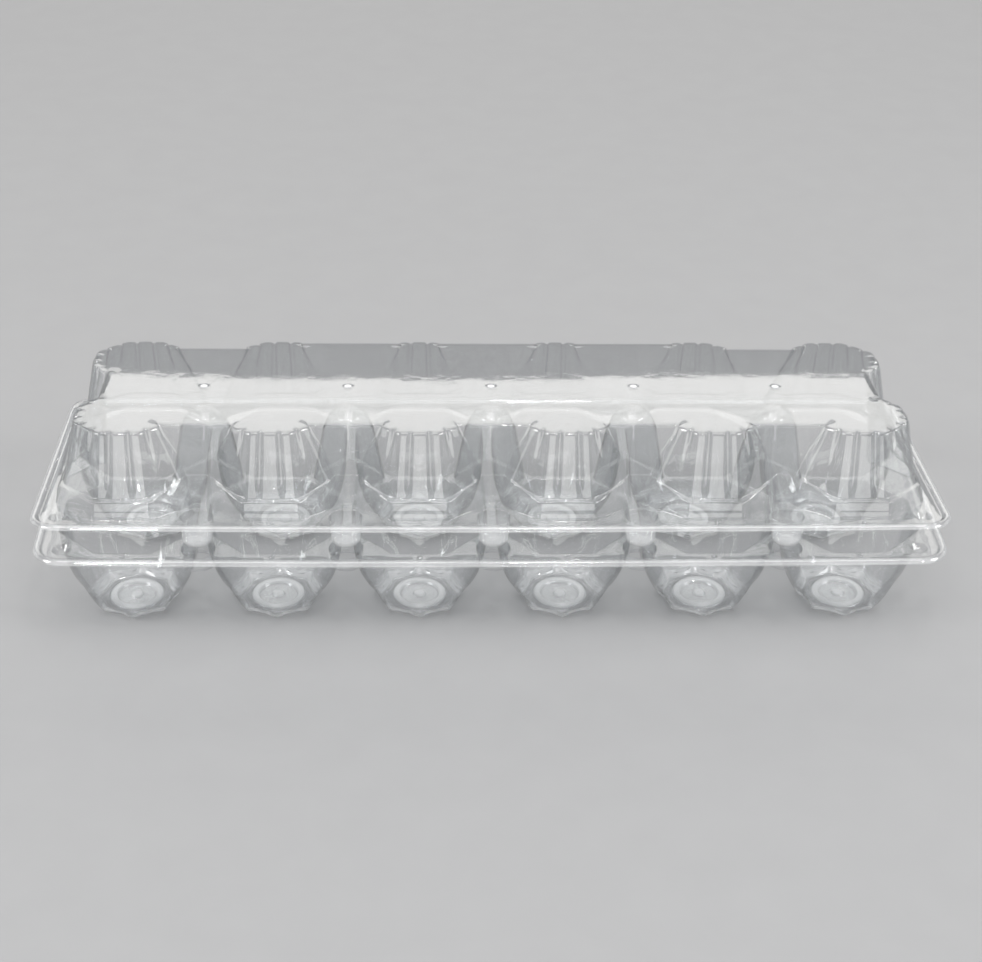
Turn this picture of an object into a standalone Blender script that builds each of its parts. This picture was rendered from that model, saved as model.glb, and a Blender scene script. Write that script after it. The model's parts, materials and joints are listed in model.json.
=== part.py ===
"""Clear thermoformed egg carton: a tray of two rows of six cells, and a domed lid standing ajar.

Metres, +Z up, +X along the length, the hinge at the back on the +Y side. The origin is on the floor,
under the middle of the bounding box. The real carton is one sheet folded at its hinge; here each
moulded zone of the sheet is a closed solid of its own, with a small gap to its neighbours.
"""
import math

import bmesh
import bpy

# Driving dimensions, in metres and degrees
SHEET = 0.0005              # thickness of the moulded sheet
GAP = 0.0003                # clearance between neighbouring solids
LENGTH = 0.300              # across the flanges
DEPTH = 0.105
CORNER_RADIUS = 0.010       # of the flanges
RIM_WIDTH = 0.0035          # flat border outside the cells
COLUMNS = 6
PITCH_X = 0.0482            # from cell to cell
PITCH_Y = 0.047
TRAY_TOP = 0.033            # middle of the sheet at the tray's flange
LID_AJAR = 6.7              # degrees that the lid stands open at rest
CLOSED_GAP = 0.0008         # between the middles of the two flanges when the lid is shut

OPENING = 0.0225            # centre to flat of the eight-sided opening of a cell
# A bowl turns from eight sides to eight more between them: (centre to flat, height, how far turned)
BOWL = ((0.0213, 0.0200, 0.3), (0.0184, 0.0100, 0.6), (0.0141, 0.0020, 1.0))
FOOT = 0.0115               # centre to flat of the foot, which has a corner where the mouth has a side

DOME_STEP = 0.0062          # height of the step around the foot of each dome
STEP_OUTER = 0.0212         # centre to flat at the top of the step
DOME_FOOT = 0.0197          # radius of the dome on the step
DOME_TOP = 0.0166           # radius of the dome under the plate
PLATE_HEIGHT = 0.028        # plate above the lid's flange
PLATE_INSET = 0.0099        # from a row's centre line out to the straight wall between domes
PANEL_INSET = 0.0150        # the same along the label panel, behind the middle columns
END_INSET = 0.0105          # from an end column's centre out to the end wall

# A centre post is four-sided, its flats towards the eggs: centre to ridge, and height
POST_RIDGES = ((0.0122, 0.0330), (0.0102, 0.0440), (0.0084, 0.0535), (0.0062, 0.0590))
POST_ROUNDNESS = 1.1        # 1 is a sharp four-sided post and 2 a round one
POST_TIP = (0.0030, 0.0610)  # radius and height of its round tip
POST_CUT = 0.0098           # deck given up by each cell to the post at its corner
POCKET = (0.0030, 0.0012)   # radius and height of the small pocket in the plate over a post

SNAP_CUT = 0.0112           # deck given up by each cell to the snap at its corner
SNAP_SETBACK = 0.0062       # snap centre behind the rim's inner edge
BUTTON = (0.0048, 0.0040, 0.0085)    # mouth radius, tip radius, depth
SOCKET = (0.0054, 0.0050, 0.0055)    # a collar, open below, that the button passes through

HINGE_REACH = 0.0003        # hinge axis behind the flanges
FOLD_RADIUS = 0.00075       # of the folded strip, to the middle of the sheet
FOLD_SHEET = 0.00025        # the fold is scored thinner than the sheet
FOLD_LENGTH = 0.276
FOLD_SWEEP = 70.0           # degrees above and below the hinge's level

SNAP_ROUNDING = 0.001       # at the tip of a button
WALL_STEP = 11.25           # degrees between the points of a dome's wall

HINGE_Y = DEPTH / 2 + HINGE_REACH
HINGE_Z = TRAY_TOP + CLOSED_GAP / 2
BACK_BULGE = HINGE_REACH + FOLD_RADIUS + FOLD_SHEET / 2
TILE_END_X = LENGTH / 2 - RIM_WIDTH
TILE_END_Y = DEPTH / 2 - RIM_WIDTH
SNAP_Y = SNAP_SETBACK - TILE_END_Y

CLEAR_PET = (0.80, 0.83, 0.86, 1.0)

# Directions in a cell's own frame: -Y is outwards, away from the carton's middle line
OCTAGON = [math.radians(45 * k) for k in range(8)]
TURNED_OCTAGON = [math.radians(22.5 + 45 * k) for k in range(8)]
END_CORNER = math.radians(5)    # either side of the diagonal, where an end cell's deck is rounded
CELL_ANGLES = sorted(
    {math.radians(22.5 * k) for k in range(16)}
    | {math.radians(45 + 90 * k) + side * END_CORNER for k in range(4) for side in (-1, 1)}
)
POST_ANGLES = [math.radians(22.5 * k) for k in range(16)]
SNAP_ANGLES = sorted(POST_ANGLES + [math.radians(-20), math.radians(200)])


def clear_scene():
    for obj in list(bpy.data.objects):
        bpy.data.objects.remove(obj, do_unlink=True)


def clear_material(name):
    material = bpy.data.materials.new(name)
    material.use_nodes = True
    shader = material.node_tree.nodes["Principled BSDF"]
    shader.inputs["Base Color"].default_value = CLEAR_PET
    shader.inputs["Roughness"].default_value = 0.08
    shader.inputs["Metallic"].default_value = 0.0
    shader.inputs["Alpha"].default_value = 0.35
    return material


def place(data, name, parent, location, turned=False):
    """Put new data in the carton's collection; turned faces it the other way round."""
    obj = bpy.data.objects.new(name, data)
    data.materials.append(clear_material(name))
    bpy.data.collections["egg_carton"].objects.link(obj)
    obj.parent = parent
    obj.location = location
    obj.rotation_euler.z = math.pi if turned else 0.0
    return obj


def pivot(name, parent, location, tilt=0.0):
    """An empty that carries pieces, tilted about X."""
    empty = bpy.data.objects.new(name, None)
    bpy.data.collections["egg_carton"].objects.link(empty)
    empty.parent = parent
    empty.location = location
    empty.rotation_euler.x = tilt
    return empty


def loft(name, rings, closed=True, lid_last=False):
    """A mesh through rings of points that match one to one; coinciding points are shared."""
    mesh = bpy.data.meshes.new(name)
    bm = bmesh.new()
    known = {}

    def vertex(point):
        key = tuple(round(c, 7) for c in point)
        if key not in known:
            known[key] = bm.verts.new(point)
        return known[key]

    rows = [[vertex(point) for point in ring] for ring in rings]
    for lower, upper in zip(rows, rows[1:]):
        count = len(lower)
        for k in range(count if closed else count - 1):
            corners = [lower[k], lower[(k + 1) % count], upper[(k + 1) % count], upper[k]]
            unique = list(dict.fromkeys(corners))
            if len(unique) > 2:
                bm.faces.new(unique)
    if lid_last:
        bm.faces.new(rows[-1])
    bmesh.ops.recalc_face_normals(bm, faces=bm.faces)
    bm.to_mesh(mesh)
    bm.free()
    return mesh


def thicken(obj, thickness=SHEET):
    solid = obj.modifiers.new("sheet", "SOLIDIFY")
    solid.thickness = thickness
    solid.offset = 0.0
    return obj


def reach(planes, angle):
    """Distance from the centre, along angle, to the outline made by (direction, distance) planes."""
    hits = [d / math.cos(angle - n) for n, d in planes if math.cos(angle - n) > 1e-6]
    return min(hits)


def outline(planes, angles, z, centre=(0.0, 0.0)):
    points = []
    for angle in angles:
        radius = reach(planes, angle)
        points.append((centre[0] + radius * math.cos(angle), centre[1] + radius * math.sin(angle), z))
    return points


def circle(radius, angles, z, centre=(0.0, 0.0)):
    return [(centre[0] + radius * math.cos(a), centre[1] + radius * math.sin(a), z) for a in angles]


def polygon(directions, distance):
    return [(direction, distance) for direction in directions]


def blend(first, second, share):
    """A ring part of the way from one ring to another that matches it."""
    return [tuple(a + (b - a) * share for a, b in zip(p, q)) for p, q in zip(first, second)]


def corner_distance(x, y):
    """From a cell's centre, along the diagonal direction, to the point (x, y)."""
    return (abs(x) + abs(y)) / math.sqrt(2)


def tile_planes(column, has_snaps):
    """The edges of one cell's share of the deck, seen with -Y outwards and +X to the right."""
    left_end = column == 0
    right_end = column == COLUMNS - 1
    end_reach = TILE_END_X - (COLUMNS - 1) / 2 * PITCH_X
    left = (end_reach if left_end else PITCH_X / 2) - GAP / 2
    right = (end_reach if right_end else PITCH_X / 2) - GAP / 2
    front = TILE_END_Y - PITCH_Y / 2 - GAP / 2
    planes = [(0.0, right), (math.pi, left), (-math.pi / 2, front), (math.pi / 2, PITCH_Y / 2 - GAP / 2)]
    for is_end, side, back_way, front_way in ((right_end, right, 45, -45), (left_end, left, 135, -135)):
        if is_end:
            rounding = corner_distance(side, front) - CORNER_RADIUS / 4
            planes.append((math.radians(front_way), rounding))
            continue
        edge = PITCH_X / 2
        planes.append((math.radians(back_way), corner_distance(edge, PITCH_Y / 2) - POST_CUT))
        if has_snaps:
            snap_corner = corner_distance(edge, TILE_END_Y - PITCH_Y / 2)
            planes.append((math.radians(front_way), snap_corner - SNAP_CUT))
    return planes


def row_place(row, column, z):
    """Where a cell stands: the back row is the front row turned half round, so columns run back."""
    x = (column - (COLUMNS - 1) / 2) * PITCH_X
    y = PITCH_Y / 2
    return (x, -y, z) if row == "front" else (x, y, z)


def between_columns(index):
    """Along the carton, halfway between two neighbouring columns."""
    return (index - (COLUMNS - 2) / 2) * PITCH_X


def make_cell(row, column, parent):
    """One egg cell: its share of the deck, and a bowl closing to an eight-sided foot, half a side round."""
    front = row == "front"
    seen_column = column if front else COLUMNS - 1 - column
    deck = outline(tile_planes(seen_column, has_snaps=front), CELL_ANGLES, TRAY_TOP)
    mouth = outline(polygon(OCTAGON, OPENING), CELL_ANGLES, TRAY_TOP)
    bowl = []
    for radius, height, share in BOWL:
        straight = outline(polygon(OCTAGON, radius), CELL_ANGLES, height)
        turned = outline(polygon(TURNED_OCTAGON, radius), CELL_ANGLES, height)
        bowl.append(blend(straight, turned, share))
    foot = outline(polygon(TURNED_OCTAGON, FOOT), CELL_ANGLES, SHEET / 2)
    mesh = loft(f"egg_cell_{row}_{column + 1}", [deck, mouth, *bowl, foot], lid_last=True)
    return thicken(place(mesh, mesh.name, parent, row_place(row, column, 0.0), turned=not front))


def ridged(ridge, angles, z):
    """A ring with four rounded ridges, along X and Y, and flatter sides between them."""
    points = []
    for angle in angles:
        spread = abs(math.cos(angle)) ** POST_ROUNDNESS + abs(math.sin(angle)) ** POST_ROUNDNESS
        radius = ridge / spread ** (1 / POST_ROUNDNESS)
        points.append((radius * math.cos(angle), radius * math.sin(angle), z))
    return points


def make_post(index, parent):
    """A hollow centre post on its diamond of deck, between four cells."""
    rings = [
        outline(polygon(OCTAGON[1::2], POST_CUT - GAP), POST_ANGLES, TRAY_TOP),
        *[ridged(ridge, POST_ANGLES, height) for ridge, height in POST_RIDGES],
        circle(POST_TIP[0], POST_ANGLES, POST_TIP[1]),
    ]
    mesh = loft(f"centre_post_{index + 1}", rings, lid_last=True)
    return thicken(place(mesh, mesh.name, parent, (between_columns(index), 0.0, 0.0)))


def make_snap(name, index, parent, z, shape, has_bottom):
    """A triangle of flange with a round cup, or an open collar, pressed down into it."""
    mouth, tip, depth = shape
    room = SNAP_CUT - corner_distance(0.0, SNAP_SETBACK) - GAP
    triangle = [(-math.pi / 2, SNAP_SETBACK - GAP / 2), (math.pi / 4, room), (3 * math.pi / 4, room)]
    rings = [
        outline(triangle, SNAP_ANGLES, 0.0),
        circle(mouth, SNAP_ANGLES, 0.0),
        circle(tip, SNAP_ANGLES, SNAP_ROUNDING - depth),
    ]
    if has_bottom:
        rings.append(circle(tip - SNAP_ROUNDING, SNAP_ANGLES, -depth))
    else:
        rings.append(circle(tip, SNAP_ANGLES, -depth))
    mesh = loft(f"{name}_{index + 1}", rings, lid_last=has_bottom)
    return thicken(place(mesh, mesh.name, parent, (between_columns(index), SNAP_Y, z)))


def round_limit(radius, inset, is_end):
    """Where a circle meets the straight wall beside it: in front between domes, or at the end."""
    return math.acos(inset / radius) if is_end else -math.asin(inset / radius)


def octagon_limit(distance, inset, is_end):
    """The same for an eight-sided step, on its slanting side."""
    along = distance * math.sqrt(2) - inset
    return math.atan2(along, inset) if is_end else math.atan2(-inset, along)


def wall_inset(row, gap):
    """How far out the straight wall is: at an end, or in the gap after column number gap."""
    if gap in (-1, COLUMNS - 1):
        return END_INSET
    in_panel = row == "back" and 0 < gap < COLUMNS - 2
    return PANEL_INSET if in_panel else PLATE_INSET


def wall_level(row, column, shape, size, z):
    """One level of a dome's wall, from the tile's right edge round the front to its left edge."""
    ends = (column == COLUMNS - 1, column == 0)
    insets = (wall_inset(row, column), wall_inset(row, column - 1))
    limit = round_limit if shape == "round" else octagon_limit
    right, left = [limit(size, inset, end) for inset, end in zip(insets, ends)]
    foot_right, foot_left = [octagon_limit(OPENING, inset, end) for inset, end in zip(insets, ends)]
    start, stop = right, -math.pi - left
    foot_start, foot_stop = foot_right, -math.pi - foot_left
    steps = [math.radians(WALL_STEP * k) for k in range(-32, 33)]
    inner = [a for a in reversed(steps) if foot_stop + 0.02 < a < foot_start - 0.02]
    angles = [foot_start, *inner, foot_stop]
    scale = (stop - start) / (foot_stop - foot_start)
    angles = [start + (a - foot_start) * scale for a in angles]
    if shape == "round":
        ring = circle(size, angles, z)
    else:
        ring = outline(polygon(OCTAGON, size), angles, z)
    return [wall_end(ends[0], 1, insets[0], z), *ring, wall_end(ends[1], -1, insets[1], z)]


def wall_end(is_end, side, inset, z):
    """Where a dome's wall stops, at the edge of its tile."""
    if is_end:
        return (side * inset, PITCH_Y / 2 - GAP / 2, z)
    return (side * (PITCH_X / 2 - GAP / 2), -inset, z)


def make_dome(row, column, parent):
    """One dome of the lid: its share of the flange, the step, and the wall up to the plate."""
    front = row == "front"
    seen_column = column if front else COLUMNS - 1 - column
    foot = wall_level(row, seen_column, "octagon", OPENING, 0.0)
    tile = tile_planes(seen_column, has_snaps=front)
    edge = [
        point if point in (foot[0], foot[-1]) else outline(tile, [math.atan2(point[1], point[0])], 0.0)[0]
        for point in foot
    ]
    step = wall_level(row, seen_column, "octagon", STEP_OUTER, DOME_STEP)
    wall_foot = wall_level(row, seen_column, "round", DOME_FOOT, DOME_STEP)
    wall_top = wall_level(row, seen_column, "round", DOME_TOP, PLATE_HEIGHT - SHEET - GAP)
    mesh = loft(f"lid_dome_{row}_{column + 1}", [edge, foot, step, wall_foot, wall_top], closed=False)
    x, y, _ = row_place(row, column, 0.0)
    return thicken(place(mesh, mesh.name, parent, (x, y, 0.0), turned=not front))


def flat_shape(name, loops):
    """A flat sheet from outlines in the XY plane; loops inside the first are holes."""
    curve = bpy.data.curves.new(name, "CURVE")
    curve.dimensions = "2D"
    curve.fill_mode = "BOTH"
    curve.extrude = SHEET / 2
    for loop in loops:
        spline = curve.splines.new("POLY")
        spline.points.add(len(loop) - 1)
        for point, target in zip(spline.points, loop):
            point.co = (target[0], target[1], 0.0, 1.0)
        spline.use_cyclic_u = True
    return curve


def make_plate(parent):
    """The lid's top plate, out to the tops of all the domes, with a hole for each tip pocket."""
    rim = []
    for row in ("front", "back"):
        for seen_column in reversed(range(COLUMNS)):
            x = (seen_column - (COLUMNS - 1) / 2) * PITCH_X
            points = wall_level(row, seen_column, "round", DOME_TOP, 0.0)[1:-1]
            sign = 1 if row == "front" else -1
            rim += [(sign * (x + u), sign * (v - PITCH_Y / 2)) for u, v, _ in points]
    holes = [
        circle(POCKET[0] + GAP, SNAP_ANGLES, 0.0, centre=(between_columns(index), 0.0))
        for index in range(COLUMNS - 1)
    ]
    return place(flat_shape("lid_plate", [rim, *holes]), "lid_plate", parent, (0, 0, PLATE_HEIGHT))


def make_pocket(index, parent):
    """The small round pocket in the plate that clears the tip of a centre post."""
    radius, height = POCKET
    rings = [
        circle(radius, SNAP_ANGLES, 0.0),
        circle(radius * 0.75, SNAP_ANGLES, height * 0.75),
        circle(radius * 0.35, SNAP_ANGLES, height),
    ]
    mesh = loft(f"tip_pocket_{index + 1}", rings, lid_last=True)
    return thicken(place(mesh, mesh.name, parent, (between_columns(index), 0.0, PLATE_HEIGHT)))


def make_rim(half, parent):
    """The flange's border around the cells, as four strips; front and back carry the corners."""
    arc_x = LENGTH / 2 - CORNER_RADIUS
    arc_y = DEPTH / 2 - CORNER_RADIUS
    inner_x = TILE_END_X + GAP / 2
    inner_y = TILE_END_Y + GAP / 2
    cut = CORNER_RADIUS / 4 * math.sqrt(2)
    corner = [math.radians(-90 + 15 * k) for k in range(7)]
    right = [(arc_x + CORNER_RADIUS * math.cos(a), CORNER_RADIUS * math.sin(a) - arc_y) for a in corner]
    right += [(inner_x, -arc_y), (inner_x, -inner_y + cut), (inner_x - cut, -inner_y)]
    front = right + [(-x, y) for x, y in reversed(right)]
    side_y = arc_y - GAP
    side = [
        (inner_x, -side_y),
        (LENGTH / 2, -side_y),
        (LENGTH / 2, side_y),
        (inner_x, side_y),
    ]
    for name, loop, turned in (("front", front, False), ("back", front, True),
                               ("right", side, False), ("left", side, True)):
        node = f"{half}_rim_{name}"
        place(flat_shape(node, [loop]), node, parent, (0, 0, 0), turned=turned)


def make_fold(parent):
    """The living hinge: the scored strip at the back, folded round the hinge's axis."""
    sweep = [math.radians(FOLD_SWEEP * k / 4) for k in range(-4, 5)]
    rings = [
        [(x, FOLD_RADIUS * math.cos(a), FOLD_RADIUS * math.sin(a)) for a in sweep]
        for x in (-FOLD_LENGTH / 2, FOLD_LENGTH / 2)
    ]
    mesh = loft("living_hinge", rings, closed=False)
    return thicken(place(mesh, mesh.name, parent, (0, HINGE_Y, HINGE_Z)), FOLD_SHEET)


def make_tray(carton):
    deck = pivot("tray_deck", carton, (0, 0, TRAY_TOP))
    make_rim("tray", deck)
    for row in ("front", "back"):
        for column in range(COLUMNS):
            make_cell(row, column, carton)
    for index in range(COLUMNS - 1):
        make_post(index, carton)
        make_snap("snap_socket", index, carton, TRAY_TOP, SOCKET, has_bottom=False)


def make_lid(carton):
    hinge = pivot("lid_hinge", carton, (0, HINGE_Y, HINGE_Z), tilt=-math.radians(LID_AJAR))
    flange = pivot("lid_flange", hinge, (0, -HINGE_Y, CLOSED_GAP / 2))
    make_rim("lid", flange)
    make_plate(flange)
    for row in ("front", "back"):
        for column in range(COLUMNS):
            make_dome(row, column, flange)
    for index in range(COLUMNS - 1):
        make_pocket(index, flange)
        make_snap("snap_button", index, flange, 0.0, BUTTON, has_bottom=True)


def main():
    clear_scene()
    bpy.context.scene.collection.children.link(bpy.data.collections.new("egg_carton"))
    carton = pivot("carton", None, (0, -BACK_BULGE / 2, 0))
    make_tray(carton)
    make_fold(carton)
    make_lid(carton)


main()
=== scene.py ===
"""The looks of the clear egg carton: two thin moulded sheets and the fold between them.

Metres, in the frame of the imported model. The sheets are worked out flat and shut, in the carton's own
frame (origin under the middle of the tray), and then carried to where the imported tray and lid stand.
"""
import json
import math

import bmesh
import bpy
from mathutils import Matrix, Vector, noise
from mathutils.geometry import delaunay_2d_cdt


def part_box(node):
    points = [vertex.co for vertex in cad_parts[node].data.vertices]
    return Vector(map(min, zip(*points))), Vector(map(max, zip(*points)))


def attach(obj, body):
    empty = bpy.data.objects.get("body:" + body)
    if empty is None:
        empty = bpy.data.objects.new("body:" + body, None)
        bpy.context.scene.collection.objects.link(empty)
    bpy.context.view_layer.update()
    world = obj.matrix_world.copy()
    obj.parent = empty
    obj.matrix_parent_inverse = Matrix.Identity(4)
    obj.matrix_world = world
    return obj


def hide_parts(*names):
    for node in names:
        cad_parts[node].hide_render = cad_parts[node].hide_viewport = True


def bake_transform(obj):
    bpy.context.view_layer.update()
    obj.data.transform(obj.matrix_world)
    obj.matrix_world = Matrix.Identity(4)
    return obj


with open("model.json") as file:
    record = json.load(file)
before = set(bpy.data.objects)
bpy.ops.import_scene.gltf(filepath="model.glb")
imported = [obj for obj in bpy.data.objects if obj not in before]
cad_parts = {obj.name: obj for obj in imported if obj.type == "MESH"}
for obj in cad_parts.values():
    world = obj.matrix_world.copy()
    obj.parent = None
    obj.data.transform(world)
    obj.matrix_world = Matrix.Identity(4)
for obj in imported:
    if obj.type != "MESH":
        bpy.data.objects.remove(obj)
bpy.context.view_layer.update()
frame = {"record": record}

# ---------------------------------------------------------------- places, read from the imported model
RECORD = frame["record"]
OPENINGS = {o["name"]: o["box_m"] for o in RECORD["physics"]["openings"]}
HINGE = next(j for j in RECORD["behaviour"]["joints"] if j["name"] == "lid_hinge")


def middle(box):
    return [(low + high) / 2 for low, high in zip(box[0], box[1])]


FRONT_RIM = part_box("tray_rim_front")
BACK_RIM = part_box("tray_rim_back")
LENGTH = FRONT_RIM[1][0] - FRONT_RIM[0][0]
DEPTH = BACK_RIM[1][1] - FRONT_RIM[0][1]
CENTRE_Y = (BACK_RIM[1][1] + FRONT_RIM[0][1]) / 2
TRAY_TOP = (FRONT_RIM[0][2] + FRONT_RIM[1][2]) / 2
CORNER_RADIUS = FRONT_RIM[1][1] - FRONT_RIM[0][1]
COLUMNS = 6
COLUMN_X = [middle(OPENINGS[f"cell_front_{k + 1}"])[0] for k in range(COLUMNS)]
PITCH_X = COLUMN_X[1] - COLUMN_X[0]
ROW_Y = CENTRE_Y - middle(OPENINGS["cell_front_1"])[1]
POST_X = [(a + b) / 2 for a, b in zip(COLUMN_X, COLUMN_X[1:])]
SNAP_Y = middle(OPENINGS["snap_socket_1"])[1] - CENTRE_Y
HINGE_Y = HINGE["pos_m"][1] - CENTRE_Y
HINGE_Z = HINGE["pos_m"][2]
AJAR = -math.radians(HINGE["range_deg"][0])
LID_LEVEL = 2 * HINGE_Z - TRAY_TOP     # the lid's flange when the lid is shut

# ---------------------------------------------------------------- sizes of the moulded shape
SHEET = 0.00036             # thickness of the formed sheet
OPENING = 0.0225            # centre to flat of a cell's eight-sided mouth, and of a dome's
STEP_HEIGHT = 0.0060        # of the step round the foot of a dome, on its outer side
STEP_CLIMB = 0.0042         # how much higher the step runs between two domes
STEP_TOP = 0.0215           # centre to flat of the step's upper edge
DOME_FOOT = 0.0198          # centre to flat where the dome's wall rises from the step
DOME_TOP = 0.0158           # centre to flat where it meets the plate
PLATE_HEIGHT = 0.028        # of the flat top above the lid's flange
PLATE_INSET = 0.0099        # from a row's centre line to the straight wall between domes
PANEL_INSET = 0.0150        # the same along the label panel at the back
END_INSET = 0.0105          # from an end column's centre line to the end wall
DOME_ROUND = 0.0166         # distance from the centre to the wall's corner under the plate
DOME_SOFTNESS = 0.4         # how far a dome's wall is from an octagon (0) towards a circle (1)
RIDGE_ANGLE = math.radians(22.5)
GROOVE_LONG = 0.0013        # depth of the grooves that run the full height of the outer facets
GROOVE_SHORT = 0.0015       # depth of the slots that fade out below the plate
SCALLOP = 0.7               # share of a groove's depth that is left at the plate's edge

ARC_STEPS = 4                                          # along a rounded corner of a profile
WALL_ROUNDS = [0, 0.0006, 0.0008, 0.0007, 0.0014, 0]   # radii at the corners of the wall's profile
WALL_RUNS = [1, 2, 1, 6, 1]                            # rows of faces along its straight runs
WALL_STEPS = 4                                         # columns of faces along half a straight wall
UNDER_PLATE = -8                                       # the wall's row just below the plate's round
CORNER_TURN = 0.02                                     # radians kept free of ridges beside a corner
# Where the stretch from one ridge to the next is sampled: most closely in its groove.
GROOVE_SHARES = (0.0, 0.16, 0.29, 0.35, 0.41, 0.46, 0.5, 0.54, 0.59, 0.65, 0.71, 0.84)

# The bead round both flanges: (distance in from the edge, height).
BEAD = [(0.0, -0.0003), (0.0003, 0.0002), (0.0007, 0.0007), (0.0012, 0.0010), (0.0018, 0.0010),
        (0.0023, 0.0006), (0.0027, 0.0001), (0.0030, -0.0002), (0.0033, -0.0001), (0.0036, 0.0)]
CORNER_STEPS = 8            # along a flange's round corner
SHORT_SIDE_STEPS = 22
LONG_SIDE_STEPS = 70
FLANGE_SPACING = 0.0035     # between the loose points of a flat stretch, which carry its waves
PLATE_SPACING = 0.0030

CELL_SAMPLES = 64
FOOT_EDGE = (0.0138, 0.0023)   # centre to flat of a foot's outer edge, and its height above the floor
FOOT_FLAT = 0.0112             # centre to flat of the part that stands on the floor
BOWL_LIP = 0.0015              # depth of the short steep stretch at a cell's mouth
BOWL_FULLNESS = 2.4            # how late a bowl closes in towards its foot
BOWL_LEVELS = 12
LIP_SOFTNESS = 0.04            # how far a cell's mouth is from an octagon (0) towards a circle (1)
BOWL_SOFTNESS = 0.18           # the same halfway down a bowl
FLUTE = 0.0005                 # depth of the flutes in the lower part of a bowl
HOLLOW = 0.0011                # how far the sides of a foot are drawn in

POST_SAMPLES = 56
POST_ROUND_FROM = 0.023        # above this height a post's four ridges fade into its round tip
POST_HEIGHT = 0.0282

FRONT_ROW, BACK_ROW = "front", "back"


def lerp(a, b, t):
    return a + (b - a) * t


def smooth(low, high, value):
    t = min(max((value - low) / (high - low), 0.0), 1.0)
    return t * t * (3 - 2 * t)


# ---------------------------------------------------------------- building a sheet
class Sheet:
    """Collects rings of points and flat fills; points that coincide are shared."""

    def __init__(self):
        self.points = []
        self.faces = []
        self.known = {}

    def add(self, point):
        key = tuple(round(value * 1e6) for value in point)
        if key not in self.known:
            self.known[key] = len(self.points)
            self.points.append(point)
        return self.known[key]

    def face(self, corners):
        unique = list(dict.fromkeys(corners))
        if len(unique) > 2:
            self.faces.append(unique)

    def loft(self, rings, closed=True, cap=False):
        rows = [[self.add(p) for p in ring] for ring in rings]
        for lower, upper in zip(rows, rows[1:]):
            count = len(lower)
            for k in range(count if closed else count - 1):
                n = (k + 1) % count
                self.face((lower[k], lower[n], upper[n], upper[k]))
        if cap:
            self.face(rows[-1])

    def fill(self, outer, holes, z, spacing):
        """A flat fill between an outer loop and holes, with loose points inside to carry waves."""
        loops = [outer, *holes]
        # The triangulation works in millimetres, where its tolerance suits the sheet.
        flat = [(p[0] * 1e3, p[1] * 1e3) for loop in loops for p in loop]
        edges = []
        start = 0
        for loop in loops:
            edges += [(start + k, start + (k + 1) % len(loop)) for k in range(len(loop))]
            start += len(loop)
        region = Region(loops)
        low_x, high_x = min(p[0] for p in outer), max(p[0] for p in outer)
        low_y, high_y = min(p[1] for p in outer), max(p[1] for p in outer)
        across = int((high_x - low_x) / spacing)
        along = int((high_y - low_y) / spacing)
        for i in range(1, across):
            for j in range(1, along):
                shift = 0.5 if j % 2 else 0.0
                x = low_x + (i + shift) * (high_x - low_x) / across
                y = low_y + j * (high_y - low_y) / along
                if region.holds(x, y) and region.clear(x, y, spacing * 0.45):
                    flat.append((x * 1e3, y * 1e3))
        found, _, triangles, _, _, _ = delaunay_2d_cdt([Vector(p) for p in flat], edges, [], 0, 1e-5)
        numbers = {}
        for triangle in triangles:
            cx = sum(found[k][0] for k in triangle) / 3e3
            cy = sum(found[k][1] for k in triangle) / 3e3
            if not region.holds(cx, cy):
                continue
            for k in triangle:
                if k not in numbers:
                    numbers[k] = self.add((found[k][0] / 1e3, found[k][1] / 1e3, z))
            self.face([numbers[k] for k in triangle])


class Region:
    """The area inside a loop and outside its holes, with its edges kept in bands for quick tests."""

    BAND = 0.002

    def __init__(self, loops):
        self.bands = {}
        self.cells = {}
        for loop in loops:
            for a, b in zip(loop, loop[1:] + loop[:1]):
                low, high = sorted((a[1], b[1]))
                for band in range(int(low // self.BAND), int(high // self.BAND) + 1):
                    self.bands.setdefault(band, []).append((a[0], a[1], b[0], b[1]))
                key = (int(a[0] // self.BAND), int(a[1] // self.BAND))
                self.cells.setdefault(key, []).append((a[0], a[1]))

    def holds(self, x, y):
        inside = False
        for ax, ay, bx, by in self.bands.get(int(y // self.BAND), ()):
            if (ay > y) != (by > y) and x < ax + (y - ay) * (bx - ax) / (by - ay):
                inside = not inside
        return inside

    def clear(self, x, y, distance):
        reach = int(distance // self.BAND) + 1
        i, j = int(x // self.BAND), int(y // self.BAND)
        for di in range(-reach, reach + 1):
            for dj in range(-reach, reach + 1):
                for px, py in self.cells.get((i + di, j + dj), ()):
                    if (px - x) ** 2 + (py - y) ** 2 < distance ** 2:
                        return False
        return True


def filleted(corners, radii, arc_steps, run_steps):
    """A profile through corners, each rounded by its radius; every run is cut into run_steps."""
    out = [Vector(corners[0])]
    last = len(corners) - 1
    for k in range(1, last + 1):
        here = Vector(corners[k])
        before = Vector(corners[k - 1])
        if k < last:
            after = Vector(corners[k + 1])
            into = (before - here).normalized()
            away = (after - here).normalized()
            half = into.angle(away) / 2
            reach = min(radii[k] / math.tan(half), (before - here).length * 0.45,
                        (after - here).length * 0.45)
            arc_start = here + into * reach
            arc_end = here + away * reach
        else:
            arc_start = here
        run_from = out[-1]
        steps = run_steps[k - 1]
        out += [run_from.lerp(arc_start, (n + 1) / steps) for n in range(steps)]
        if k < last:
            for n in range(1, arc_steps + 1):
                t = n / arc_steps
                out.append(arc_start.lerp(here, t).lerp(here.lerp(arc_end, t), t))
    return out


def circle(radius, count, z, centre):
    points = []
    for k in range(count):
        a = 2 * math.pi * k / count
        points.append((centre[0] + radius * math.cos(a), centre[1] + radius * math.sin(a), z))
    return points


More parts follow.
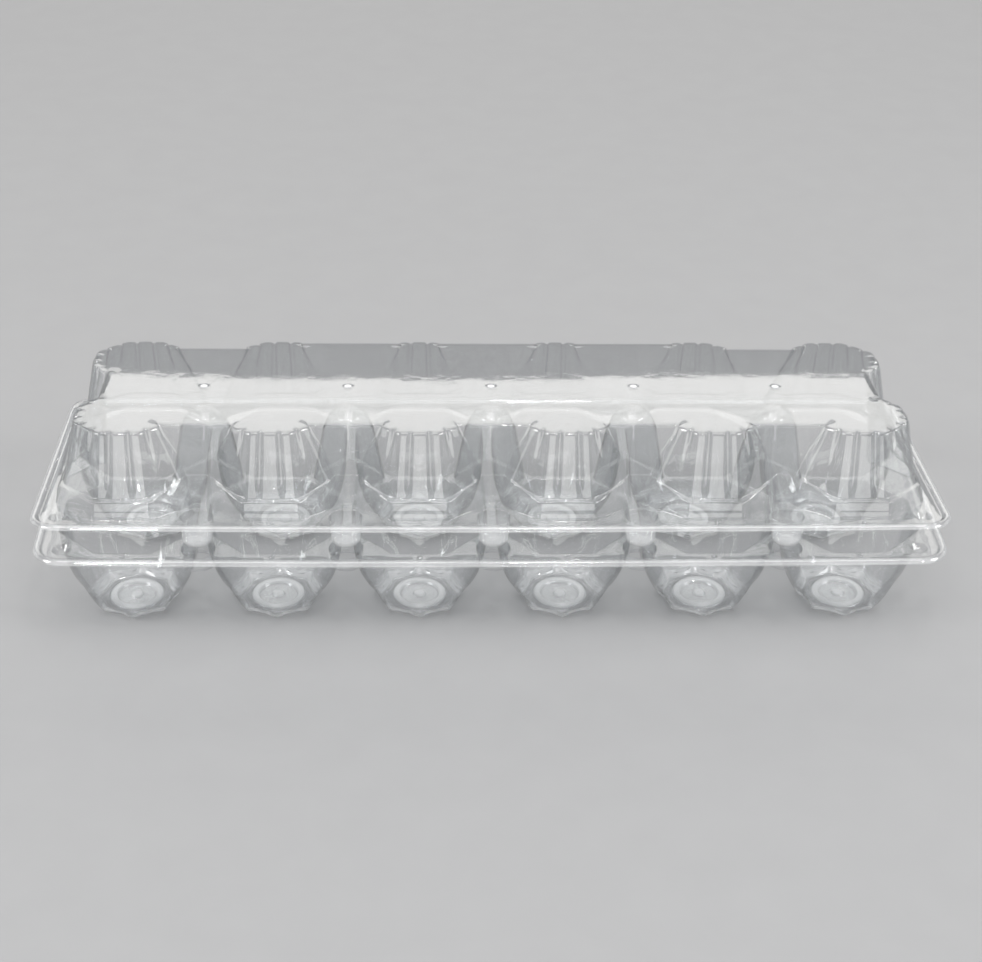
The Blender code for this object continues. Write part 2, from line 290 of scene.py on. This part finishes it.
def rounded_rectangle(inset, z):
    """One turn round the flange, the same count of points at every inset."""
    half_x = LENGTH / 2 - inset
    half_y = DEPTH / 2 - inset
    radius = CORNER_RADIUS - inset
    signs = ((1, -1), (1, 1), (-1, 1), (-1, -1))
    points = []
    for quarter, (sx, sy) in enumerate(signs):
        x, y = sx * (half_x - radius), sy * (half_y - radius)
        for k in range(CORNER_STEPS + 1):
            a = math.radians(-90 + 90 * quarter + 90 * k / CORNER_STEPS)
            points.append((x + radius * math.cos(a), y + radius * math.sin(a), z))
        start = points[-1]
        sx, sy = signs[(quarter + 1) % 4]
        a = math.radians(90 * quarter)
        end = (sx * (half_x - radius) + radius * math.cos(a), sy * (half_y - radius) + radius * math.sin(a))
        steps = LONG_SIDE_STEPS if quarter % 2 else SHORT_SIDE_STEPS
        for k in range(1, steps):
            points.append((lerp(start[0], end[0], k / steps), lerp(start[1], end[1], k / steps), z))
    return points


def add_rim(sheet, level):
    """The flange's border, with its stiffening bead; gives back its inner loop."""
    rings = [rounded_rectangle(inset, level + z) for inset, z in BEAD]
    sheet.loft(rings)
    return rings[-1]


# ---------------------------------------------------------------- the lid's wall of domes
def octagon(angle, softness=0.0):
    """Distance to an eight-sided outline of unit apothem; angle 0 looks at the middle of a side.

    Softness draws it towards a circle that runs between its sides and its corners.
    """
    away = (angle + math.pi / 8) % (math.pi / 4) - math.pi / 8
    return lerp(1 / math.cos(away), 1.03, softness)


# Up a dome's outer side: (centre to flat, height).
FRONT_PROFILE = filleted(
    [(OPENING + 0.0008, 0.0), (OPENING, 0.0), (STEP_TOP, STEP_HEIGHT), (DOME_FOOT, STEP_HEIGHT + 0.0002),
     (DOME_TOP, PLATE_HEIGHT), (DOME_TOP - 0.0024, PLATE_HEIGHT)],
    WALL_ROUNDS, ARC_STEPS, WALL_RUNS)


class Side:
    """How a dome's wall ends on one side: at the straight wall to its neighbour or at the end wall."""

    def __init__(self, inset, is_end):
        self.is_end = is_end
        top = math.sqrt(DOME_ROUND ** 2 - inset ** 2)
        foot = OPENING * math.sqrt(2) - inset
        climb = STEP_HEIGHT + STEP_CLIMB
        # Up the corner with the straight wall: (distance along the wall, inset of the wall, height).
        self.rows = filleted(
            [(foot + 0.0004, inset + 0.0006, 0.0), (foot, inset, 0.0), (foot - 0.0012, inset, climb),
             (foot - 0.0016, inset - 0.0001, climb + 0.0002), (top, inset - 0.0005, PLATE_HEIGHT),
             (top - 0.0004, inset - 0.0026, PLATE_HEIGHT)],
            WALL_ROUNDS, ARC_STEPS, WALL_RUNS)
        self.top_limit = self.limit(UNDER_PLATE)
        plain_ridges = 5 if is_end else 1     # ridges before the wall starts to turn to its corner
        self.hold = plain_ridges * RIDGE_ANGLE
        held = [(k + share) * RIDGE_ANGLE for k in range(plain_ridges) for share in GROOVE_SHARES]
        rest = [self.hold + (k + share) * RIDGE_ANGLE for k in range(2) for share in GROOVE_SHARES]
        rest = [a for a in rest if a < self.top_limit - CORNER_TURN]
        self.samples = held + rest + [self.top_limit]

    def limit(self, row):
        """Angle, from straight outwards, at which the dome meets the straight wall."""
        along, inset, _ = self.rows[row]
        return math.pi / 2 + math.atan2(along, inset) if self.is_end else math.atan2(along, inset)

    def point(self, row, sample):
        """The dome's wall at one level; sample is an angle at the top, 0 straight outwards."""
        apothem, z = FRONT_PROFILE[row]
        softness = 0.0 if z < STEP_HEIGHT else DOME_SOFTNESS
        if sample <= self.hold:
            return apothem * octagon(sample, softness), sample, z
        along, inset, side_z = self.rows[row]
        share = (sample - self.hold) / (self.top_limit - self.hold)
        angle = lerp(self.hold, self.limit(row), share)
        weight = smooth(0.0, 1.0, share)
        radius = lerp(apothem * octagon(angle, softness), math.hypot(along, inset), weight)
        return radius, angle, lerp(z, side_z, weight)

    def wall(self, row, across):
        """The straight wall: across runs from 0 at the dome to 1 halfway to the neighbour."""
        along, inset, z = self.rows[row]
        if self.is_end:
            return inset, lerp(along, ROW_Y, across), z
        return lerp(along, PITCH_X / 2, across), -inset, z


def groove_depth(sample, z, is_end):
    """Grooves lie halfway between ridges; long ones on the outward facets, short slots elsewhere."""
    from_groove = abs((sample / RIDGE_ANGLE) % 1.0 - 0.5) * 2
    cut = 1 - smooth(0.05, 0.38, from_groove)
    height = (z - STEP_HEIGHT) / (PLATE_HEIGHT - STEP_HEIGHT)
    outward = sample < RIDGE_ANGLE or (is_end and abs(sample - math.pi / 2) < RIDGE_ANGLE)
    if outward:
        depth = GROOVE_LONG * smooth(0.06, 0.16, height) + 0.0003 * smooth(0.6, 0.95, height)
    else:
        depth = GROOVE_SHORT * smooth(0.50, 0.92, height)
    return cut * depth


def dome_ring(row, sides):
    """One level of one dome's wall, from its right edge round the outside to its left edge."""
    level = FRONT_PROFILE[row][1]
    share = SCALLOP if row == len(FRONT_PROFILE) - 1 else 1.0
    out = []
    for sign, side in zip((1, -1), sides):
        part = []
        for k in range(WALL_STEPS):
            u, v, z = side.wall(row, 1 - k / WALL_STEPS)
            part.append((sign * u, v, z))
        for sample in reversed(side.samples):
            radius, angle, z = side.point(row, sample)
            if level > STEP_HEIGHT and sample < side.top_limit:
                radius -= share * groove_depth(sample, level, side.is_end)
            part.append((sign * radius * math.sin(angle), -radius * math.cos(angle), z))
        out += part if sign > 0 else list(reversed(part))[1:]
    return out


SIDES = {key: Side(*key) for key in ((PLATE_INSET, False), (PANEL_INSET, False), (END_INSET, True))}


def side_at(row_name, gap):
    """What ends a dome at a gap between columns: -1 is the left end, and COLUMNS - 1 the right one."""
    if gap in (-1, COLUMNS - 1):
        return SIDES[END_INSET, True]
    # The label panel fills the middle gaps of the back row.
    has_panel = row_name == BACK_ROW and 0 < gap < COLUMNS - 2
    return SIDES[PANEL_INSET if has_panel else PLATE_INSET, False]


def wall_ring(row):
    """One level of the wall all round the lid, in the carton's own frame."""
    ring = []
    for row_name, turn in ((FRONT_ROW, 1), (BACK_ROW, -1)):
        for column in reversed(range(COLUMNS)):
            sides = side_at(row_name, column), side_at(row_name, column - 1)
            for u, v, z in dome_ring(row, sides)[:-1]:
                ring.append((turn * (COLUMN_X[column] + u), turn * (v - ROW_Y), z + LID_LEVEL))
    return ring


# ---------------------------------------------------------------- pressed features of the flanges
def round_profile(corners, radii, arc_steps=ARC_STEPS):
    return filleted(corners, radii, arc_steps, [1] * (len(corners) - 1))


def pressed(sheet, centre, profile, level, count=32, cap=True):
    """A round feature, its profile rows of (radius, height); gives back its outer loop."""
    rings = [circle(radius, count, level + z, centre) for radius, z in profile]
    sheet.loft(rings, cap=cap)
    return rings[0]


BUTTON = round_profile(
    [(0.0059, 0), (0.0053, 0), (0.0049, -0.0040), (0.0049, -0.0076), (0.0039, -0.0094), (0.0012, -0.0094),
     (0.0008, -0.0084), (0.0002, -0.0084)],
    [0, 0.0004, 0.0030, 0.0012, 0.0012, 0.0003, 0.0003, 0])
SOCKET = round_profile([(0.0060, 0), (0.0056, 0), (0.0055, -0.0030), (0.0054, -0.0055)],
                       [0, 0.0003, 0.0010, 0])
POCKET = round_profile([(0.0026, 0), (0.0016, 0), (0.0008, 0.0004), (0.0002, 0.0005)],
                       [0, 0.0006, 0.0006, 0])
PIMPLE = round_profile([(0.0011, 0), (0.0009, 0), (0.0004, 0.0006), (0.0001, 0.0006)],
                       [0, 0.0001, 0.0002, 0], arc_steps=2)
PIP = round_profile([(0.0034, 0), (0.0031, 0), (0.0016, -0.0019), (0.0003, -0.0019)],
                    [0, 0.0004, 0.0006, 0], arc_steps=3)
PIMPLE_SAMPLES = 12
PIP_SAMPLES = 16
CORNER_INSET = 0.0092          # from the flange's edges to a corner pip

SNAP_PLACES = [(x, SNAP_Y) for x in POST_X]
POCKET_PLACES = [(x, -0.0015) for x in POST_X]
PIMPLE_PLACES = [(x, -ROW_Y - OPENING - 0.0018) for x in COLUMN_X]
CORNER_PLACES = [(sx * (LENGTH / 2 - CORNER_INSET), sy * (DEPTH / 2 - CORNER_INSET))
                 for sx in (-1, 1) for sy in (-1, 1)]


def build_lid():
    sheet = Sheet()
    rim = add_rim(sheet, LID_LEVEL)
    rings = [wall_ring(row) for row in range(len(FRONT_PROFILE))]
    sheet.loft(rings)
    holes = [pressed(sheet, place, BUTTON, LID_LEVEL) for place in SNAP_PLACES]
    holes += [pressed(sheet, place, PIP, LID_LEVEL, PIP_SAMPLES) for place in CORNER_PLACES]
    holes += [pressed(sheet, place, PIMPLE, LID_LEVEL, PIMPLE_SAMPLES) for place in PIMPLE_PLACES]
    sheet.fill(rim, [rings[0], *holes], LID_LEVEL, FLANGE_SPACING)
    plate_level = LID_LEVEL + PLATE_HEIGHT
    pockets = [pressed(sheet, place, POCKET, plate_level) for place in POCKET_PLACES]
    sheet.fill(rings[-1], pockets, plate_level, PLATE_SPACING)
    return sheet


# ---------------------------------------------------------------- the tray's cells and posts
def bowl_rows():
    """A cell from its mouth to its foot: (apothem, height, how far turned, softness, flute, hollow)."""
    under_lip = OPENING - 0.0003
    lip = filleted([(OPENING + 0.0007, 0.0), (OPENING, 0.0), (under_lip, -BOWL_LIP)], [0, 0.0006, 0],
                   ARC_STEPS, [1, 1])
    rows = [(apothem, TRAY_TOP + drop, 0.0, LIP_SOFTNESS, 0.0, 0.0) for apothem, drop in lip]
    edge, edge_height = FOOT_EDGE
    for k in range(1, BOWL_LEVELS + 1):
        share = 1 - k / BOWL_LEVELS
        z = lerp(edge_height, TRAY_TOP - BOWL_LIP, share)
        apothem = lerp(edge, under_lip, 1 - (1 - share) ** BOWL_FULLNESS)
        low = 1 - smooth(0.0, 0.55, share)
        softness = BOWL_SOFTNESS * math.sin(math.pi * share)
        rows.append((apothem, z, 1 - share ** 0.6, softness, FLUTE * low, HOLLOW * low ** 2))
    foot = filleted([(edge, edge_height), (edge - 0.0005, edge_height - 0.0007), (FOOT_FLAT, 0.0),
                     (FOOT_FLAT - 0.0006, 0.0)], [0, 0.0002, 0.0004, 0], 2, [1, 2, 1])
    rows += [(apothem, z, 1.0, 0.0, 0.0, HOLLOW * smooth(0.0, 0.002, z)) for apothem, z in foot[1:]]
    return rows


def foot_rows():
    """Inside the foot: a raised round ring and a small boss in the middle, as (radius, height)."""
    return round_profile(
        [(0.0094, 0.0), (0.0087, 0.0014), (0.0069, 0.0014), (0.0062, 0.0004), (0.0024, 0.0004),
         (0.0016, 0.0013), (0.0004, 0.0013)],
        [0, 0.0003, 0.0003, 0.0002, 0.0002, 0.0002, 0], arc_steps=2)


def cell_radius(angle, apothem, turn, softness, flute, hollow):
    """The mouth has a side in front and the foot a corner; the sides between are slightly hollow."""
    outline = lerp(octagon(angle, softness), octagon(angle + math.pi / 8, softness), turn)
    facets = 0.5 - 0.5 * math.cos(16 * angle)
    sides = 0.5 - 0.5 * math.cos(8 * angle)
    return apothem * outline - flute * smooth(0.35, 1.0, facets) - hollow * sides


def add_cell(sheet, x, y):
    angles = [2 * math.pi * k / CELL_SAMPLES for k in range(CELL_SAMPLES)]
    base = SHEET / 2
    rings = []
    for apothem, z, *shape in bowl_rows():
        ring = []
        for a in angles:
            radius = cell_radius(a, apothem, *shape)
            ring.append((x + radius * math.sin(a), y - radius * math.cos(a), max(z, base)))
        rings.append(ring)
    for radius, z in foot_rows():
        rings.append([(x + radius * math.sin(a), y - radius * math.cos(a), z + base) for a in angles])
    sheet.loft(rings, cap=True)
    return rings[0]


# Up a post's ridge: (distance from its middle, height).
POST_PROFILE = filleted(
    [(0.0130, 0.0), (0.0122, 0.0), (0.0102, 0.0110), (0.0084, 0.0205), (0.0062, 0.0260), (0.0030, 0.0281),
     (0.0004, POST_HEIGHT)],
    [0, 0.0010, 0.0200, 0.0120, 0.0040, 0.0020, 0], ARC_STEPS, [1, 2, 3, 2, 1, 1])


def add_post(sheet, x):
    """A hollow post with four ridges, its flats turned to the eggs, round at its tip."""
    rings = []
    for ridge, height in POST_PROFILE:
        power = lerp(1.06, 2.0, smooth(POST_ROUND_FROM, POST_HEIGHT, height))
        ring = []
        for k in range(POST_SAMPLES):
            a = 2 * math.pi * k / POST_SAMPLES
            spread = abs(math.cos(a)) ** power + abs(math.sin(a)) ** power
            radius = ridge / spread ** (1 / power)
            ring.append((x + radius * math.cos(a), radius * math.sin(a), TRAY_TOP + height))
        rings.append(ring)
    sheet.loft(rings, cap=True)
    return rings[0]


def build_tray():
    sheet = Sheet()
    rim = add_rim(sheet, TRAY_TOP)
    holes = [add_cell(sheet, x, y) for x in COLUMN_X for y in (-ROW_Y, ROW_Y)]
    holes += [pressed(sheet, place, PIMPLE, TRAY_TOP, PIMPLE_SAMPLES) for place in PIMPLE_PLACES]
    holes += [add_post(sheet, x) for x in POST_X]
    holes += [pressed(sheet, place, SOCKET, TRAY_TOP, cap=False) for place in SNAP_PLACES]
    holes += [pressed(sheet, place, PIP, TRAY_TOP, PIP_SAMPLES) for place in CORNER_PLACES]
    sheet.fill(rim, holes, TRAY_TOP, FLANGE_SPACING)
    return sheet


# ---------------------------------------------------------------- the fold behind the flanges
FOLD_RADIUS = 0.00075
FOLD_HALF = 0.138                # half the fold's length
FOLD_FROM, FOLD_TO = -127, 120   # degrees round the hinge line, from straight back
FOLD_ROWS = 14
FOLD_COLUMNS = 60


def build_fold():
    """A strip of the same film round the hinge line."""
    sheet = Sheet()
    rings = []
    for k in range(FOLD_ROWS + 1):
        a = math.radians(lerp(FOLD_FROM, FOLD_TO, k / FOLD_ROWS))
        y = HINGE_Y + FOLD_RADIUS * math.cos(a)
        z = HINGE_Z + FOLD_RADIUS * math.sin(a)
        rings.append([(lerp(-FOLD_HALF, FOLD_HALF, i / FOLD_COLUMNS), y, z)
                      for i in range(FOLD_COLUMNS + 1)])
    sheet.loft(rings, closed=False)
    return sheet


# ---------------------------------------------------------------- from flat and shut to where it stands
SAG = 0.0009                # how far the front flanges hang in the middle
WAVE = 0.00012              # height of the sheet's slight waves
CALM = 0.25                 # share of the waves that is left away from the flange


def warp(point, level):
    """The slight waves and sag of a thin formed sheet, strongest at the free flange."""
    x, y, z = point
    edge = smooth(0.040, DEPTH / 2, abs(y)) if y < 0 else 0.0
    near_flange = 1 - smooth(0.0, 0.006, abs(z - level))
    sag = -SAG * (1 - (x / (LENGTH / 2)) ** 2) * edge * near_flange
    wave = noise.noise(Vector((x * 16, y * 26, level * 50))) * WAVE * lerp(CALM, 1.0, near_flange)
    return Vector((x, y, z + sag + wave * smooth(0.0, 0.01, z)))


def carry_tray(point):
    return warp(point, TRAY_TOP) + Vector((0, CENTRE_Y, 0))


LID_POSE = (Matrix.Translation((0, HINGE_Y + CENTRE_Y, HINGE_Z)) @ Matrix.Rotation(-AJAR, 4, "X")
            @ Matrix.Translation((0, -HINGE_Y, -HINGE_Z)))


def carry_lid(point):
    return LID_POSE @ warp(point, LID_LEVEL)


def carry_fold(point):
    return Vector(point) + Vector((0, CENTRE_Y, 0))


# ---------------------------------------------------------------- highlights painted as white in the film, and the milky fold
# Shares of diffuse white: painted highlights on the beads, the feet's edges, the buttons and the pockets,
# and the fold's milk.
BEAD_HIGHLIGHT_PAINT = 0.9
FOOT_HIGHLIGHT_PAINT = 1.5
POCKET_HIGHLIGHT_PAINT = 3.5
FOLD_MILK = 0.4
WHITE_PER_MILK_AND_HIGHLIGHT = 0.22        # share of diffuse white in the film where the value is 1: painted highlight on beads, feet, buttons and pockets, milk at the fold


# A painted highlight along the bead of either flange, drawn as diffuse white.
def painted_bead_highlight(x, y):
    inset = min(LENGTH / 2 - abs(x), DEPTH / 2 - abs(y))
    return BEAD_HIGHLIGHT_PAINT * (1 - smooth(0.0010, 0.0024, inset))


def tray_painted_highlights(point):
    """Painted highlights on the tray, as diffuse white: along its bead and round the edges of its feet."""
    x, y, z = point
    # A painted highlight round the edge of each foot, as diffuse white.
    foot = smooth(0.0, 0.0010, z) * (1 - smooth(0.0025, 0.0045, z))
    return max(painted_bead_highlight(x, y), FOOT_HIGHLIGHT_PAINT * foot)


def lid_painted_highlights(point):
    """Painted highlights on the lid, as diffuse white: along its bead, on its buttons and pips, and on the
    small pockets over the posts.
    """
    x, y, z = point
    plate_level = LID_LEVEL + PLATE_HEIGHT
    # A painted highlight on the buttons and pips that hang below the flange.
    painted_sunk_highlight = 1 - smooth(LID_LEVEL - 0.0060, LID_LEVEL - 0.0010, z)
    # A painted glint on the top of each pocket over a post.
    pocket = smooth(plate_level + 0.0001, plate_level + 0.0004, z)
    return max(painted_bead_highlight(x, y), painted_sunk_highlight, POCKET_HIGHLIGHT_PAINT * pocket)


def fold_stretch(_):
    return FOLD_MILK


# ---------------------------------------------------------------- the clear plastic
class Nodes:
    """Short ways to add shader nodes."""

    def __init__(self, name):
        self.material = bpy.data.materials.new(name)
        self.material.use_nodes = True
        self.tree = self.material.node_tree
        self.tree.nodes.clear()

    def add(self, kind, inputs=None, **settings):
        node = self.tree.nodes.new(kind)
        for key, value in settings.items():
            setattr(node, key, value)
        for key, value in (inputs or {}).items():
            if isinstance(value, bpy.types.NodeSocket):
                self.tree.links.new(value, node.inputs[key])
            else:
                node.inputs[key].default_value = value
        return node

    def ramp(self, factor, *stops):
        node = self.add("ShaderNodeValToRGB", {"Fac": factor})
        elements = node.color_ramp.elements
        while len(elements) < len(stops):
            elements.new(0.5)
        for element, (position, colour) in zip(elements, stops):
            element.position = position
            element.color = (*colour, 1)
        return node.outputs["Color"]

    def noise(self, scale, detail):
        where = self.add("ShaderNodeTexCoord").outputs["Object"]
        inputs = {"Vector": where, "Scale": scale, "Detail": detail}
        return self.add("ShaderNodeTexNoise", inputs).outputs["Fac"]

    def bump(self, height, distance, **under):
        inputs = {"Height": height, "Strength": 0.05, "Distance": distance, **under}
        return self.add("ShaderNodeBump", inputs).outputs["Normal"]

    def facing(self, blend, normal):
        inputs = {"Blend": blend, "Normal": normal}
        return self.add("ShaderNodeLayerWeight", inputs).outputs["Facing"]

    def calculate(self, operation, *values):
        return self.add("ShaderNodeMath", dict(enumerate(values)), operation=operation).outputs["Value"]

    def spread(self, value, low, high):
        inputs = {"Value": value, "To Min": low, "To Max": high}
        return self.add("ShaderNodeMapRange", inputs).outputs["Result"]

    def mix(self, share, first, second):
        return self.add("ShaderNodeMixShader", {"Fac": share, 1: first, 2: second}).outputs["Shader"]

    def finish(self, shader):
        self.add("ShaderNodeOutputMaterial", {"Surface": shader})
        return self.material


def clear_plastic():
    """Formed clear film: mirror-bright where it turns away, a little milky all over and at the fold, and
    white where highlights are painted on its beads, feet, buttons and pockets.
    """
    n = Nodes("clear_film")
    peel = n.noise(700.0, 2.0)     # fine orange peel
    draw = n.noise(140.0, 2.0)     # longer ripples, from drawing the hot sheet
    ripple = n.bump(peel, 0.00004, Normal=n.bump(draw, 0.0002))
    edge = n.facing(0.42, ripple)

    # Light goes straight through, and is dimmed where the sheet is seen edge on.
    tint = n.ramp(edge, (0.0, (0.985, 0.987, 0.988)), (0.45, (0.935, 0.94, 0.943)),
                  (0.72, (0.79, 0.80, 0.81)), (1.0, (0.20, 0.205, 0.21)))
    through = n.add("ShaderNodeBsdfTransparent", {"Color": tint}).outputs["BSDF"]
    milk_and_painted_white = n.add("ShaderNodeBsdfDiffuse", {"Color": (0.90, 0.905, 0.905, 1.0),
                                           "Normal": ripple}).outputs["BSDF"]
    haze = n.ramp(edge, (0.0, (0.010,) * 3), (0.8, (0.03,) * 3), (1.0, (0.08,) * 3))
    # Diffuse white from the mesh's values: painted highlights on beads, feet, buttons and pockets, and milk
    # at the fold.
    milk_and_highlight = n.add("ShaderNodeAttribute", attribute_name="milk_and_highlight").outputs["Fac"]
    body = n.mix(n.calculate("MULTIPLY_ADD", milk_and_highlight, WHITE_PER_MILK_AND_HIGHLIGHT, haze), through, milk_and_painted_white)

    # What a surface of index 1.57 mirrors, the same on its way in and out: a sheet doesn't turn light.
    gloss = n.spread(draw, 0.008, 0.030)
    mirror = n.add("ShaderNodeBsdfGlossy", {"Color": (1.0, 0.995, 0.985, 1.0), "Roughness": gloss,
                                            "Normal": ripple}).outputs["BSDF"]
    share = n.calculate("MULTIPLY_ADD", n.calculate("POWER", n.facing(0.5, ripple), 5.0), 0.95, 0.05)
    # The light that passes to the floor loses less than that, so the shadow stays as thin as the film.
    path = n.add("ShaderNodeLightPath")
    spill = n.calculate("MAXIMUM", path.outputs["Is Shadow Ray"], path.outputs["Is Diffuse Ray"])
    share = n.calculate("MULTIPLY", share, n.spread(spill, 1.0, 0.25))
    return n.finish(n.mix(share, body, mirror))


def make_object(name, sheet, carry, milk_and_highlight, body, replaced):
    mesh = bpy.data.meshes.new(name)
    mesh.from_pydata([carry(p) for p in sheet.points], [], sheet.faces)
    # Each point's share of diffuse white: painted highlights, and the fold's milk.
    milk_and_highlight_values = mesh.attributes.new("milk_and_highlight", "FLOAT", "POINT")
    milk_and_highlight_values.data.foreach_set("value", [milk_and_highlight(p) for p in sheet.points])
    bm = bmesh.new()
    bm.from_mesh(mesh)
    bmesh.ops.recalc_face_normals(bm, faces=bm.faces)
    bm.to_mesh(mesh)
    bm.free()
    mesh.polygons.foreach_set("use_smooth", [True] * len(mesh.polygons))
    obj = bpy.data.objects.new(name, mesh)
    bpy.context.scene.collection.objects.link(obj)
    solid = obj.modifiers.new("sheet", "SOLIDIFY")
    solid.thickness = SHEET
    solid.offset = 0.0
    mesh.materials.append(FILM)
    if body:
        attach(obj, body)
    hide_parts(*replaced)
    return obj


FILM = clear_plastic()
BODIES = RECORD["behaviour"]["bodies"]
make_object("tray_sheet", build_tray(), carry_tray, tray_painted_highlights, "tray",
            [n for n in BODIES["tray"] if n != "living_hinge"])
make_object("lid_sheet", build_lid(), carry_lid, lid_painted_highlights, "lid", BODIES["lid"])
fold = make_object("fold_strip", build_fold(), carry_fold, fold_stretch, None, ["living_hinge"])
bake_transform(fold)


# ---------------------------------------------------------------- floor, light and camera
FLOOR_HALF = 1.5
ROOM_LIGHT = (0.83, 0.84, 0.86, 1)
ROOM_STRENGTH = 0.16
FAR_WALL = (0.53, 0.53, 0.54, 1)   # as pale as the floor, past whose edge the camera sees it

CAMERA_PLACE = (-0.0264, -0.6099 + CENTRE_Y, 0.4170)
CAMERA_YAW, CAMERA_PITCH, CAMERA_ROLL = (math.radians(a) for a in (2.54, 32.25, -1.32))
CAMERA_LENS = 76.51


def floor_material():
    n = Nodes("pale_floor")
    colour = n.ramp(n.noise(60.0, 4.0), (0.3, (0.346, 0.346, 0.350)), (0.7, (0.354, 0.354, 0.358)))
    paint = n.add("ShaderNodeBsdfPrincipled", {"Base Color": colour, "Roughness": 0.75,
                                               "Specular IOR Level": 0.2}).outputs["BSDF"]
    return n.finish(paint)


def add_floor():
    mesh = bpy.data.meshes.new("floor")
    corners = [(sx * FLOOR_HALF, sy * FLOOR_HALF, 0) for sx, sy in ((-1, -1), (1, -1), (1, 1), (-1, 1))]
    mesh.from_pydata(corners, [], [(0, 1, 2, 3)])
    floor = bpy.data.objects.new("floor", mesh)
    bpy.context.scene.collection.objects.link(floor)
    mesh.materials.append(floor_material())


def add_light(name, place, target, size, power, colour=(1, 1, 1)):
    lamp = bpy.data.lights.new(name, "AREA")
    lamp.shape = "RECTANGLE"
    lamp.size, lamp.size_y = size
    lamp.energy = power
    lamp.color = colour
    obj = bpy.data.objects.new(name, lamp)
    obj.location = place
    obj.visible_camera = False
    obj.rotation_euler = (Vector(target) - Vector(place)).to_track_quat("-Z", "Y").to_euler()
    bpy.context.scene.collection.objects.link(obj)


def add_camera():
    """Looks down on the carton's front from a little left of its middle."""
    level = math.cos(CAMERA_PITCH)
    forward = Vector((math.sin(CAMERA_YAW) * level, math.cos(CAMERA_YAW) * level, -math.sin(CAMERA_PITCH)))
    right = Vector((math.cos(CAMERA_YAW), -math.sin(CAMERA_YAW), 0))
    down = forward.cross(right)
    across = right * math.cos(CAMERA_ROLL) + down * math.sin(CAMERA_ROLL)
    drop = down * math.cos(CAMERA_ROLL) - right * math.sin(CAMERA_ROLL)
    lens = bpy.data.cameras.new("camera")
    lens.lens = CAMERA_LENS
    lens.clip_start = 0.01
    camera = bpy.data.objects.new("camera", lens)
    turn = Matrix((across, -drop, -forward)).transposed().to_4x4()
    camera.matrix_world = Matrix.Translation(CAMERA_PLACE) @ turn
    bpy.context.scene.collection.objects.link(camera)
    bpy.context.scene.camera = camera


def add_world():
    world = bpy.data.worlds.new("studio")
    world.use_nodes = True
    tree = world.node_tree
    room = tree.nodes["Background"]
    room.inputs["Color"].default_value = ROOM_LIGHT
    room.inputs["Strength"].default_value = ROOM_STRENGTH
    wall = tree.nodes.new("ShaderNodeBackground")
    wall.inputs["Color"].default_value = FAR_WALL
    seen = tree.nodes.new("ShaderNodeLightPath")
    either = tree.nodes.new("ShaderNodeMixShader")
    tree.links.new(seen.outputs["Is Camera Ray"], either.inputs["Fac"])
    tree.links.new(room.outputs["Background"], either.inputs[1])
    tree.links.new(wall.outputs["Background"], either.inputs[2])
    tree.links.new(either.outputs["Shader"], tree.nodes["World Output"].inputs["Surface"])
    bpy.context.scene.world = world


add_floor()
add_world()
add_camera()
# Each light: its name, its place, where it looks, its width and height, and its power in watts.
add_light("back_softbox", (0.0, 1.20, 0.87), (0, 0.1, 0.04), (2.4, 0.95), 14, (1.0, 0.985, 0.96))
add_light("top_softbox", (0.0, -0.10, 1.60), (0, 0, 0), (1.2, 1.2), 11)
add_light("front_panel", (0.0, -1.6, 0.28), (0, 0, 0.06), (2.0, 0.5), 5.5)
add_light("left_panel", (-1.60, 0.10, 0.48), (0, 0, 0.05), (1.6, 0.6), 4)
add_light("right_panel", (1.60, 0.10, 0.48), (0, 0, 0.05), (1.6, 0.6), 4)
add_light("left_softbox", (-1.05, -0.45, 0.75), (0, 0, 0.03), (0.45, 0.45), 8)
add_light("right_softbox", (1.05, -0.35, 0.75), (0, 0, 0.03), (0.45, 0.45), 7)
add_light("left_spark", (-0.30, -0.90, 1.15), (0, 0, 0.03), (0.08, 0.08), 2.0)
add_light("right_spark", (0.55, -0.80, 0.90), (0, 0, 0.03), (0.07, 0.07), 1.6)
add_light("high_spark", (0.10, -0.35, 1.30), (0, 0, 0.03), (0.08, 0.08), 1.6)

# A ray to the far side of the carton passes many sheets.
cycles = bpy.context.scene.cycles
cycles.transparent_max_bounces = 48
cycles.glossy_bounces = 6
cycles.max_bounces = 8
bpy.context.scene.view_settings.view_transform = "Standard"
